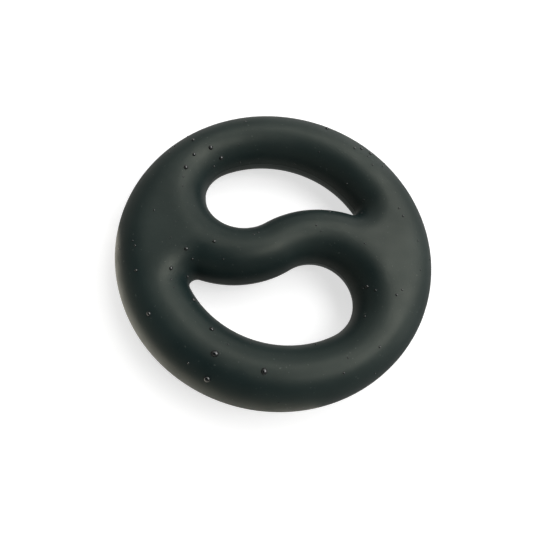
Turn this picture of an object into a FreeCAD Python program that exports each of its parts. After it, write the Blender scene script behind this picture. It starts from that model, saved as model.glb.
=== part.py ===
import FreeCAD, Part
import math
import os

# Hand massage ring, moulded in one piece: a thick round ring with an S-shaped cross bar,
# which leaves two comma-shaped openings. Every edge is rounded, and top and bottom are alike.
#
# Frame, in millimetres: +Z up, the origin on the resting plane under the centre of the ring.
# +X runs along the cross bar, and +Y points to the side of the first opening.
# The second opening is the first one turned half a turn about Z.

# Driving dimensions
RING_RADIUS = 36.0  # outside of the ring
THICKNESS = 13.6  # top to bottom
EDGE_RADIUS = 5.8  # rounding of every edge, top and bottom

# An opening is four tangent arcs: along the ring, round the head, along the S bar and round the tail.
# The head and tail arcs touch the ring arc from inside, at these angles about the ring arc's centre.
RING_ARC_CENTRE = FreeCAD.Vector(-1.4, -1.5, 0)
RING_ARC_RADIUS = 23.9
HEAD_RADIUS = 8.8
HEAD_ANGLE = 130.0
TAIL_RADIUS = 1.5
TAIL_ANGLE = 44.0
BAR_ARC_RADIUS = 24.4  # side of the S bar, bulging into the opening

LEVEL_WITHIN = 0.001  # an edge that rises less than this is level, so it is a rim

UP = FreeCAD.Vector(0, 0, 1)
ORIGIN = FreeCAD.Vector(0, 0, 0)


def direction(degrees):
    """Unit vector in the XY plane at this angle from +X."""
    a = math.radians(degrees)
    return FreeCAD.Vector(math.cos(a), math.sin(a), 0)


def angle_to(start, end):
    """Angle in degrees of the line from start to end."""
    d = end - start
    return math.degrees(math.atan2(d.y, d.x))


def centre_touching_both(centre_a, radius_a, centre_b, radius_b, radius):
    """Centre of the circle of this radius that touches circles a and b from outside.

    Of the two such circles it is the one on the right, going from a to b.
    """
    reach_a = radius_a + radius
    reach_b = radius_b + radius
    line = centre_b - centre_a
    span = line.Length
    along = (span**2 + reach_a**2 - reach_b**2) / (2 * span)
    aside = math.sqrt(reach_a**2 - along**2)
    unit = line / span
    return centre_a + unit * along + unit.cross(UP) * aside


def arc(centre, radius, start, end):
    """Arc about centre from angle start to angle end, in degrees, by its middle point."""
    points = [centre + direction(a) * radius for a in (start, (start + end) / 2, end)]
    return Part.Arc(*points).toShape()


def opening_wire():
    """Outline of the first opening, anticlockwise seen from above."""
    head = RING_ARC_CENTRE + direction(HEAD_ANGLE) * (RING_ARC_RADIUS - HEAD_RADIUS)
    tail = RING_ARC_CENTRE + direction(TAIL_ANGLE) * (RING_ARC_RADIUS - TAIL_RADIUS)
    bar = centre_touching_both(head, HEAD_RADIUS, tail, TAIL_RADIUS, BAR_ARC_RADIUS)
    return Part.Wire(
        [
            arc(RING_ARC_CENTRE, RING_ARC_RADIUS, TAIL_ANGLE, HEAD_ANGLE),
            arc(head, HEAD_RADIUS, HEAD_ANGLE, angle_to(head, bar) + 360),
            arc(bar, BAR_ARC_RADIUS, angle_to(bar, head), angle_to(bar, tail)),
            arc(tail, TAIL_RADIUS, angle_to(tail, bar), TAIL_ANGLE),
        ]
    )


def opening_core():
    """Solid that fills the first opening, over the full thickness."""
    return Part.Face(opening_wire()).extrude(UP * THICKNESS)


def moulded_ring():
    """The whole moulding: a disc with both openings cut through, and every edge rounded."""
    core = opening_core()
    opposite_core = core.copy()
    opposite_core.rotate(ORIGIN, UP, 180)
    blank = Part.makeCylinder(RING_RADIUS, THICKNESS).cut([core, opposite_core])
    rims = []
    for edge in blank.Edges:
        if edge.BoundBox.ZLength < LEVEL_WITHIN:
            rims.append(edge)
    return blank.makeFillet(EDGE_RADIUS, rims)


def print_size(name, shape):
    """Prints whether the solid is sound, its overall size in mm and its volume in mm3."""
    box = shape.optimalBoundingBox(True, False)
    size = (round(box.XLength, 3), round(box.YLength, 3), round(box.ZLength, 3))
    print(name, "valid", shape.isValid(), "size", size, "volume", round(shape.Volume, 1))


os.makedirs("parts", exist_ok=True)
ring = moulded_ring()
print_size("moulded_ring", ring)
ring.exportStep("parts/moulded_ring.step")
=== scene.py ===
import math
import random
from collections import namedtuple

import bmesh
import bpy
from mathutils import Matrix, Vector, geometry
from mathutils.kdtree import KDTree


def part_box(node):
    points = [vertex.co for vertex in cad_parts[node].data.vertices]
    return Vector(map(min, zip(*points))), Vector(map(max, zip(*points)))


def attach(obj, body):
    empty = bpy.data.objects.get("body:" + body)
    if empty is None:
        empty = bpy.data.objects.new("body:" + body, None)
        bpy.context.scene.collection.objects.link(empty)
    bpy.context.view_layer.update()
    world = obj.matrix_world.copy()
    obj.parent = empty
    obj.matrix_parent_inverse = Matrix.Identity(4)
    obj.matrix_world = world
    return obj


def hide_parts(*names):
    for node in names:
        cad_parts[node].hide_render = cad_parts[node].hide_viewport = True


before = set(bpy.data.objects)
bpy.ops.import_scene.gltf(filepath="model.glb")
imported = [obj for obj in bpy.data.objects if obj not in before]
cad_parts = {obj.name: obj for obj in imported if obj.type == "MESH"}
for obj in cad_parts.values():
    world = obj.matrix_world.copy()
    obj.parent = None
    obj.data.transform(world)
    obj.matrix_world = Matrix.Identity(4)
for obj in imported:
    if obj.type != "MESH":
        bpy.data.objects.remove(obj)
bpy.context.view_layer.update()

NODE = "moulded_ring"
MM = 0.001  # metres in a millimetre. Lengths below are in millimetres where they don't say metres

# Planform: a circle with two openings, each of four tangent arcs, as in the CAD part
ring_low, ring_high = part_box(NODE)
RING_RADIUS = (ring_high.x - ring_low.x) / 2 / MM
THICKNESS = (ring_high.z - ring_low.z) / MM
RING_ARC_CENTRE = Vector((-1.4, -1.5))
RING_ARC_RADIUS = 23.9
HEAD_RADIUS = 8.8
HEAD_ANGLE = 130.0
TAIL_RADIUS = 1.5
TAIL_ANGLE = 44.0
BAR_ARC_RADIUS = 24.4

# Section: an ellipse from the side up to the pads, and a fine ridge where the two halves of the mould met
ROUNDING = 7.3
BLEND = 4.0  # how sharply the roundings of two nearby outlines meet
BAND_WIDTH = 6.0  # of the even rows of faces along each outline
BAND_ROWS = 16
RIDGE_HEIGHT = 0.05
RIDGE_HALF_WIDTH = 0.3
RIDGE_SHARES = (-1, -0.6, -0.3, 0, 0.3, 0.6, 1)  # heights of its rows over mid-height, in half widths
STATION_STEP = 0.6  # along an outline
FEWEST_STATIONS = 8  # on one arc
PAD_STEP = 1.0  # between the points beyond the bands
PAD_CLEARANCE = 0.6  # of those points from the bands, in steps
TOUCHING = 1e-6  # distances and angles up to this count as none

# Camera: looks down at the ring from nearby, and is rolled a little
CAMERA_ELEVATION = 64.3
CAMERA_DISTANCE = 94.0
CAMERA_AIM = Vector((-1.1, -5.45, THICKNESS / 2))
CAMERA_ROLL = 13.9
CAMERA_LENS = 27.45
CAMERA_SENSOR = 36.0
CAMERA_CLIP = 0.005  # metres

# Silicone, in linear colour
DEEP_COLOUR = (0.004, 0.013, 0.014, 1)
CLOUD_COLOUR = (0.011, 0.022, 0.022, 1)
DUST_COLOUR = (0.07, 0.085, 0.08, 1)
ROUGHNESS = 0.45
ROUGHNESS_SPREAD = 0.05
IOR = 1.43
SPECULAR = 0.5
SPECULAR_TINT = (0.98, 1.0, 0.85, 1)
WAVE_DEPTH = 0.03
GRAIN_DEPTH = 0.003

# Patterns in the silicone: noise scale and detail, and the stretch of noise from none to full
CLOUD_NOISE = (60, 4)
CLOUD_RANGE = (0.35, 0.65)
DUST_NOISE = (1700, 1)
DUST_RANGE = (0.72, 0.78)
DUST_COVER = 0.5
SHEEN_NOISE = (220, 3)
SHEEN_RANGE = (0.3, 0.7)
WAVE_NOISE = (150, 1)
GRAIN_NOISE = (2600, 2)

# Beads of water on the ring, scattered in patches
WATER_PATCHES = [
    # x, y, spread, count, width of the largest bead
    (-20, 15, 7, 7, 1.2),
    (-15, -10, 6, 4, 0.8),
    (-20, -20, 8, 4, 0.9),
    (0, -25, 10, 5, 1.3),
    (10, 25, 10, 5, 0.9),
    (25, -10, 8, 3, 0.7),
    (0, 0, 35, 60, 0.45),
]
WATER_SEED = 7
BEAD_SIZES = (0.6, 1)  # least and most, as a share of the largest
BEAD_STRETCHES = (1, 1.3)
BEAD_HEIGHT = 0.85  # of its radius
BEAD_SUBDIVISIONS = 3
WATER_COLOUR = (0.004, 0.006, 0.006, 1)
WATER_ROUGHNESS = 0.12
WATER_SPECULAR = 1.0

# Stage
FLOOR_HALF = 3.0  # metres
FLOOR_COLOUR = (0.6, 0.6, 0.6, 1)
FLOOR_GLOW = 1.1
FLOOR_LEVEL = -0.02  # just under the rest face
WORLD_COLOUR = (1, 0.98, 0.94, 1)
HORIZON_GLOW = 0.30
BACK_GLOW = 0.30
GLOW_RANGE = (0.2, 1)  # of the direction's Z or Y, over which the glow changes
CARD_COLOUR = (1, 0.95, 0.84, 1)
CARD_GLOW = 0.95
CARD_FADE = (-30.0, -2.0)  # from full to none along X
CARD_RADII = (30.0, 90.0)
CARD_ANGLES = (185, 300)
CARD_STEPS = 24
CARD_HEIGHT = 0.1
PAPER_ROUGHNESS = 0.9
LAMP_DISTANCE = 0.6  # metres
LAMPS = [
    # name, azimuth and elevation in degrees, size in metres, power in watts
    ("lamp_right", 0, 60, 0.35, 1.30),
    ("lamp_middle", 30, 40, 0.35, 0.70),
    ("lamp_back", 65, 57, 0.35, 1.00),
    ("lamp_left", 120, 58, 0.35, 0.30),
    ("lamp_low_right", 0, 20, 0.35, 0.25),
    ("lamp_low_back", 75, 20, 0.35, 0.25),
]

Arc = namedtuple("Arc", "centre radius start end solid_outside")


def direction(degrees):
    """Unit vector in the plane at this angle from +X."""
    a = math.radians(degrees)
    return Vector((math.cos(a), math.sin(a)))


def angle_to(start, end):
    """Angle in degrees of the line from start to end."""
    d = end - start
    return math.degrees(math.atan2(d.y, d.x))


def opening_outline():
    """The first opening's arcs, anticlockwise: along the ring, the head, along the bar, the tail."""
    head = RING_ARC_CENTRE + direction(HEAD_ANGLE) * (RING_ARC_RADIUS - HEAD_RADIUS)
    tail = RING_ARC_CENTRE + direction(TAIL_ANGLE) * (RING_ARC_RADIUS - TAIL_RADIUS)
    reach_head = HEAD_RADIUS + BAR_ARC_RADIUS
    reach_tail = TAIL_RADIUS + BAR_ARC_RADIUS
    line = tail - head
    along = (line.length**2 + reach_head**2 - reach_tail**2) / (2 * line.length)
    aside = math.sqrt(reach_head**2 - along**2)
    unit = line.normalized()
    bar = head + unit * along + Vector((unit.y, -unit.x)) * aside
    return [
        Arc(RING_ARC_CENTRE, RING_ARC_RADIUS, TAIL_ANGLE, HEAD_ANGLE, True),
        Arc(head, HEAD_RADIUS, HEAD_ANGLE, angle_to(head, bar) + 360, True),
        Arc(bar, BAR_ARC_RADIUS, angle_to(bar, head), angle_to(bar, tail), False),
        Arc(tail, TAIL_RADIUS, angle_to(tail, bar), TAIL_ANGLE, True),
    ]


def half_turn(arcs):
    """The same outline turned half a turn about the middle of the ring."""
    return [Arc(-a.centre, a.radius, a.start + 180, a.end + 180, a.solid_outside) for a in arcs]


def outline_points(arcs, inset):
    """Closed loop of points at this distance inside the solid, at the same stations for every inset."""
    points = []
    for a in arcs:
        outwards = 1 if a.solid_outside else -1
        span = a.end - a.start
        band_radius = a.radius + outwards * BAND_WIDTH / 2
        count = max(FEWEST_STATIONS, round(abs(math.radians(span)) * band_radius / STATION_STEP))
        for k in range(count):
            points.append(a.centre + direction(a.start + span * k / count) * (a.radius + outwards * inset))
    return points


def distance_to(arcs, point):
    """Distance from a point in the solid to an outline."""
    nearest = math.inf
    for a in arcs:
        arm = point - a.centre
        span = abs(a.end - a.start)
        turn = (math.degrees(math.atan2(arm.y, arm.x)) - min(a.start, a.end)) % 360
        if turn < span + TOUCHING or turn > 360 - TOUCHING:
            nearest = min(nearest, abs(arm.length - a.radius))
    return nearest


def fullness(point, outlines):
    """Height of the surface over mid-height, from 0 at an outline to 1 on a pad."""
    crowding = 0
    for arcs in outlines:
        crowding += max(distance_to(arcs, point) - RIDGE_HEIGHT, TOUCHING) ** -BLEND
    depth = min(1, crowding ** (-1 / BLEND) / ROUNDING)
    return math.sqrt(depth * (2 - depth))


def band_rows(arcs, outlines):
    """Rows of points along one outline, from the bottom band out round the side to the top band."""
    middle = THICKNESS / 2
    upper = []
    for k in range(1, BAND_ROWS + 1):
        inset = RIDGE_HEIGHT + (BAND_WIDTH - RIDGE_HEIGHT) * (1 - math.cos(math.pi / 2 * k / BAND_ROWS))
        upper.append([(p, fullness(p, outlines)) for p in outline_points(arcs, inset)])
    rows = [[(p.x, p.y, middle - middle * full) for p, full in row] for row in reversed(upper)]
    for share in RIDGE_SHARES:
        inset = RIDGE_HEIGHT * (1 - math.cos(math.pi * share)) / 2
        rows.append([(p.x, p.y, middle + share * RIDGE_HALF_WIDTH) for p in outline_points(arcs, inset)])
    rows += [[(p.x, p.y, middle + middle * full) for p, full in row] for row in upper]
    return rows


def inside(point, loop):
    """True if the point lies inside the closed loop."""
    hit = False
    for a, b in zip(loop, loop[1:] + loop[:1]):
        if (a.y > point.y) != (b.y > point.y):
            if point.x < a.x + (b.x - a.x) * (point.y - a.y) / (b.y - a.y):
                hit = not hit
    return hit


def search_tree(points):
    """Tree that finds the nearest of these plane points."""
    tree = KDTree(len(points))
    for k, p in enumerate(points):
        tree.insert(p.to_3d(), k)
    tree.balance()
    return tree


def pad_triangles(loops):
    """Points and triangles that fill the flat face between the outer loop and the two opening loops."""
    outer, holes = loops[0], loops[1:]

    def on_pad(p):
        return inside(p, outer) and not any(inside(p, hole) for hole in holes)

    edge_points = [p for loop in loops for p in loop]
    edges = []
    first = 0
    for loop in loops:
        count = len(loop)
        edges += [(first + k, first + (k + 1) % count) for k in range(count)]
        first += count
    tree = search_tree(edge_points)
    grid = []
    rows = int(RING_RADIUS / PAD_STEP) + 1
    for j in range(-rows, rows + 1):
        for i in range(-rows, rows + 1):
            p = Vector(((i + (j % 2) / 2) * PAD_STEP, j * PAD_STEP * math.sqrt(3) / 2))
            if on_pad(p) and tree.find(p.to_3d())[2] > PAD_STEP * PAD_CLEARANCE:
                grid.append(p)
    points, _, triangles, _, _, _ = geometry.delaunay_2d_cdt(edge_points + grid, edges, [], 0, TOUCHING)
    kept = []
    for t in triangles:
        if on_pad(sum((points[k] for k in t), Vector((0, 0))) / len(t)):
            kept.append(t)
    return points, kept


def strip_faces(start, count, rows):
    """Quads between closed rows of points, with this count in each, from vertex number start on."""
    faces = []
    for low in range(start, start + (rows - 1) * count, count):
        for k in range(count):
            n = (k + 1) % count
            faces.append((low + k, low + n, low + count + n, low + count + k))
    return faces


def closed_mesh(name, verts, faces):
    """Smooth mesh with its faces turned outwards, in metres, from points in millimetres."""
    mesh = bpy.data.meshes.new(name)
    mesh.from_pydata([Vector(v) * MM for v in verts], [], faces)
    work = bmesh.new()
    work.from_mesh(mesh)
    bmesh.ops.recalc_face_normals(work, faces=work.faces)
    work.to_mesh(mesh)
    work.free()
    mesh.shade_smooth()
    return mesh


def ring_mesh():
    """The moulding's whole skin as one closed mesh."""
    first = opening_outline()
    circle = [Arc(Vector((0, 0)), RING_RADIUS, 0, 360, False)]
    outlines = [circle, first, half_turn(first)]
    verts = []
    faces = []
    bottom = []
    top = []
    for arcs in outlines:
        rows = band_rows(arcs, outlines)
        count = len(rows[0])
        start = len(verts)
        faces += strip_faces(start, count, len(rows))
        for row in rows:
            verts += row
        bottom += range(start, start + count)
        top += range(len(verts) - count, len(verts))
    points, triangles = pad_triangles([outline_points(arcs, BAND_WIDTH) for arcs in outlines])
    middle = THICKNESS / 2
    for index, up in ((bottom, -middle), (top, middle)):
        for p in points[len(index) :]:
            index.append(len(verts))
            verts.append((p.x, p.y, middle + up * fullness(p, outlines)))
        faces += [[index[k] for k in t] for t in triangles]
    return closed_mesh("silicone_ring", verts, faces)


def new_object(name, mesh):
    """Object in the scene that shows this mesh."""
    obj = bpy.data.objects.new(name, mesh)
    bpy.context.scene.collection.objects.link(obj)
    return obj


def make_camera():
    """Camera that looks at the aim point, rolled about its own axis."""
    e = math.radians(CAMERA_ELEVATION)
    place = Vector((0, -math.cos(e), math.sin(e))) * CAMERA_DISTANCE + Vector((0, 0, THICKNESS / 2))
    forward = (CAMERA_AIM - place).normalized()
    right = forward.cross(Vector((0, 0, 1))).normalized()
    up = right.cross(forward)
    roll = math.radians(CAMERA_ROLL)
    rolled_right = right * math.cos(roll) + up * math.sin(roll)
    rolled_up = up * math.cos(roll) - right * math.sin(roll)
    data = bpy.data.cameras.new("camera")
    data.sensor_width = CAMERA_SENSOR
    data.lens = CAMERA_LENS
    data.clip_start = CAMERA_CLIP
    camera = bpy.data.objects.new("camera", data)
    turn = Matrix((rolled_right, rolled_up, -forward)).transposed().to_4x4()
    camera.matrix_world = Matrix.Translation(place * MM) @ turn
    bpy.context.scene.collection.objects.link(camera)
    bpy.context.scene.camera = camera


def add_node(tree, kind, **inputs):
    """Shader node of this kind, with its inputs set by name (an underscore stands for a space)."""
    node = tree.nodes.new(kind)
    for name, value in inputs.items():
        node.inputs[name.replace("_", " ")].default_value = value
    return node


def noise_factor(tree, scale, detail):
    """Output of a noise texture in object space: features are about 1 / scale metres across."""
    place = tree.nodes.get("Texture Coordinate") or tree.nodes.new("ShaderNodeTexCoord")
    noise = add_node(tree, "ShaderNodeTexNoise", Scale=scale, Detail=detail)
    tree.links.new(place.outputs["Object"], noise.inputs["Vector"])
    return noise.outputs["Fac"]


def ramp(tree, factor, low, high, start, end):
    """Maps a factor from low..high to start..end, and holds it there outside."""
    node = add_node(tree, "ShaderNodeMapRange", From_Min=low, From_Max=high, To_Min=start, To_Max=end)
    tree.links.new(factor, node.inputs["Value"])
    return node.outputs["Result"]


def blend_colours(tree, factor, first, second):
    """Mix of two colours, each a fixed colour or another node's output."""
    node = tree.nodes.new("ShaderNodeMix")
    node.data_type = "RGBA"
    shown = [socket for socket in node.inputs if socket.enabled]
    amount = next(socket for socket in shown if socket.name == "Factor")
    ends = [socket for socket in shown if socket.name in ("A", "B")]
    tree.links.new(factor, amount)
    for socket, colour in zip(ends, (first, second)):
        if isinstance(colour, tuple):
            socket.default_value = colour
        else:
            tree.links.new(colour, socket)
    return next(socket for socket in node.outputs if socket.enabled)


def silicone_material():
    """Matt, nearly black silicone with a green cast: clouding, pale dust specks and a moulded grain."""
    material = bpy.data.materials.new("silicone")
    material.use_nodes = True
    tree = material.node_tree
    shader = tree.nodes["Principled BSDF"]
    clouds = ramp(tree, noise_factor(tree, *CLOUD_NOISE), *CLOUD_RANGE, 0, 1)
    rubber = blend_colours(tree, clouds, DEEP_COLOUR, CLOUD_COLOUR)
    dust = ramp(tree, noise_factor(tree, *DUST_NOISE), *DUST_RANGE, 0, DUST_COVER)
    tree.links.new(blend_colours(tree, dust, rubber, DUST_COLOUR), shader.inputs["Base Color"])
    smoothest = ROUGHNESS - ROUGHNESS_SPREAD
    roughest = ROUGHNESS + ROUGHNESS_SPREAD
    sheen_patches = ramp(tree, noise_factor(tree, *SHEEN_NOISE), *SHEEN_RANGE, smoothest, roughest)
    tree.links.new(sheen_patches, shader.inputs["Roughness"])
    shader.inputs["IOR"].default_value = IOR
    shader.inputs["Specular IOR Level"].default_value = SPECULAR
    shader.inputs["Specular Tint"].default_value = SPECULAR_TINT
    waves = add_node(tree, "ShaderNodeBump", Strength=1.0, Distance=WAVE_DEPTH * MM)
    tree.links.new(noise_factor(tree, *WAVE_NOISE), waves.inputs["Height"])
    grain = add_node(tree, "ShaderNodeBump", Strength=1.0, Distance=GRAIN_DEPTH * MM)
    tree.links.new(noise_factor(tree, *GRAIN_NOISE), grain.inputs["Height"])
    tree.links.new(waves.outputs["Normal"], grain.inputs["Normal"])
    tree.links.new(grain.outputs["Normal"], shader.inputs["Normal"])
    return material


def water_material():
    """Water over black rubber: dark, with small bright glints."""
    material = bpy.data.materials.new("water")
    material.use_nodes = True
    shader = material.node_tree.nodes["Principled BSDF"]
    shader.inputs["Base Color"].default_value = WATER_COLOUR
    shader.inputs["Roughness"].default_value = WATER_ROUGHNESS
    shader.inputs["Specular IOR Level"].default_value = WATER_SPECULAR
    return material


def bead_places(ring):
    """(point on the ring in metres, outward normal, radius in mm, stretch) of each bead of water."""
    draw = random.Random(WATER_SEED)
    places = []
    for x, y, spread, count, largest in WATER_PATCHES:
        for _ in range(count):
            spot = Vector((x, y)) + direction(draw.uniform(0, 360)) * spread * math.sqrt(draw.random())
            radius = largest / 2 * draw.uniform(*BEAD_SIZES)
            stretch = draw.uniform(*BEAD_STRETCHES)
            start = Vector((spot.x, spot.y, 2 * THICKNESS))
            hit, point, normal, _ = ring.ray_cast(start * MM, Vector((0, 0, -1)))
            if hit:
                places.append((point, normal, radius, stretch))
    return places


def bead_mesh(places):
    """Beads of water that stand on the surface: round caps, a little flattened."""
    work = bmesh.new()
    for point, normal, radius, stretch in places:
        centre = Matrix.Translation(point)
        turn = normal.to_track_quat("Z", "Y").to_matrix().to_4x4()
        size = Matrix.Diagonal(Vector((radius * stretch, radius, radius * BEAD_HEIGHT)) * MM).to_4x4()
        place = centre @ turn @ size
        bmesh.ops.create_icosphere(work, subdivisions=BEAD_SUBDIVISIONS, radius=1, matrix=place)
    mesh = bpy.data.meshes.new("water_beads")
    work.to_mesh(mesh)
    work.free()
    mesh.shade_smooth()
    return mesh


def add_lamp(name, azimuth, elevation, size, power):
    """Round area light that faces the ring. Azimuth 0 is along +X and 90 along +Y."""
    data = bpy.data.lights.new(name, "AREA")
    data.shape = "DISK"
    data.size = size
    data.energy = power
    lamp = bpy.data.objects.new(name, data)
    flat = direction(azimuth) * math.cos(math.radians(elevation))
    lamp.location = Vector((flat.x, flat.y, math.sin(math.radians(elevation)))) * LAMP_DISTANCE
    lamp.rotation_euler = (-lamp.location).to_track_quat("-Z", "Y").to_euler()
    bpy.context.scene.collection.objects.link(lamp)


def glowing_material(name, colour, glow):
    """Matt paper that also glows by itself."""
    material = bpy.data.materials.new(name)
    material.use_nodes = True
    shader = material.node_tree.nodes["Principled BSDF"]
    shader.inputs["Base Color"].default_value = colour
    shader.inputs["Roughness"].default_value = PAPER_ROUGHNESS
    shader.inputs["Emission Color"].default_value = colour
    shader.inputs["Emission Strength"].default_value = glow
    return material


def add_floor():
    """Plain pale floor that glows, left out of reflections so that the ring's lower edges stay dark."""
    mesh = bpy.data.meshes.new("floor")
    corners = ((-1, -1), (1, -1), (1, 1), (-1, 1))
    verts = [(x * FLOOR_HALF, y * FLOOR_HALF, FLOOR_LEVEL * MM) for x, y in corners]
    mesh.from_pydata(verts, [], [(0, 1, 2, 3)])
    mesh.materials.append(glowing_material("floor", FLOOR_COLOUR, FLOOR_GLOW))
    floor = new_object("floor", mesh)
    floor.visible_glossy = False


def add_card():
    """Warm reflector card in front at the left: a sector of a ring, seen only in the ring's sheen."""
    start, end = CARD_ANGLES
    verts = []
    for k in range(CARD_STEPS + 1):
        side = direction(start + (end - start) * k / CARD_STEPS)
        verts += [(side * radius * MM).to_3d() + Vector((0, 0, CARD_HEIGHT * MM)) for radius in CARD_RADII]
    faces = [(2 * k, 2 * k + 1, 2 * k + 3, 2 * k + 2) for k in range(CARD_STEPS)]
    mesh = bpy.data.meshes.new("card")
    mesh.from_pydata(verts, [], faces)
    material = glowing_material("card", CARD_COLOUR, CARD_GLOW)
    tree = material.node_tree
    place = tree.nodes.new("ShaderNodeTexCoord")
    split = tree.nodes.new("ShaderNodeSeparateXYZ")
    tree.links.new(place.outputs["Object"], split.inputs["Vector"])
    glow = ramp(tree, split.outputs["X"], CARD_FADE[0] * MM, CARD_FADE[1] * MM, CARD_GLOW, 0)
    tree.links.new(glow, tree.nodes["Principled BSDF"].inputs["Emission Strength"])
    mesh.materials.append(material)
    card = new_object("card", mesh)
    card.visible_camera = False
    card.visible_diffuse = False
    card.visible_shadow = False


def set_world():
    """Pale glow all round, fading out overhead and stronger at the back, with plain colour output."""
    world = bpy.data.worlds.new("world")
    world.use_nodes = True
    tree = world.node_tree
    background = tree.nodes["Background"]
    background.inputs["Color"].default_value = WORLD_COLOUR
    place = tree.nodes.new("ShaderNodeTexCoord")
    split = tree.nodes.new("ShaderNodeSeparateXYZ")
    tree.links.new(place.outputs["Generated"], split.inputs["Vector"])
    total = tree.nodes.new("ShaderNodeMath")
    tree.links.new(ramp(tree, split.outputs["Z"], *GLOW_RANGE, HORIZON_GLOW, 0), total.inputs[0])
    tree.links.new(ramp(tree, split.outputs["Y"], *GLOW_RANGE, 0, BACK_GLOW), total.inputs[1])
    tree.links.new(total.outputs["Value"], background.inputs["Strength"])
    bpy.context.scene.world = world
    bpy.context.scene.view_settings.view_transform = "Standard"


make_camera()

ring = new_object("silicone_ring", ring_mesh())
ring.data.materials.append(silicone_material())
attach(ring, "root")
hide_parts(NODE)

beads = new_object("water_beads", bead_mesh(bead_places(ring)))
beads.data.materials.append(water_material())

add_floor()
add_card()
set_world()
for lamp in LAMPS:
    add_lamp(*lamp)
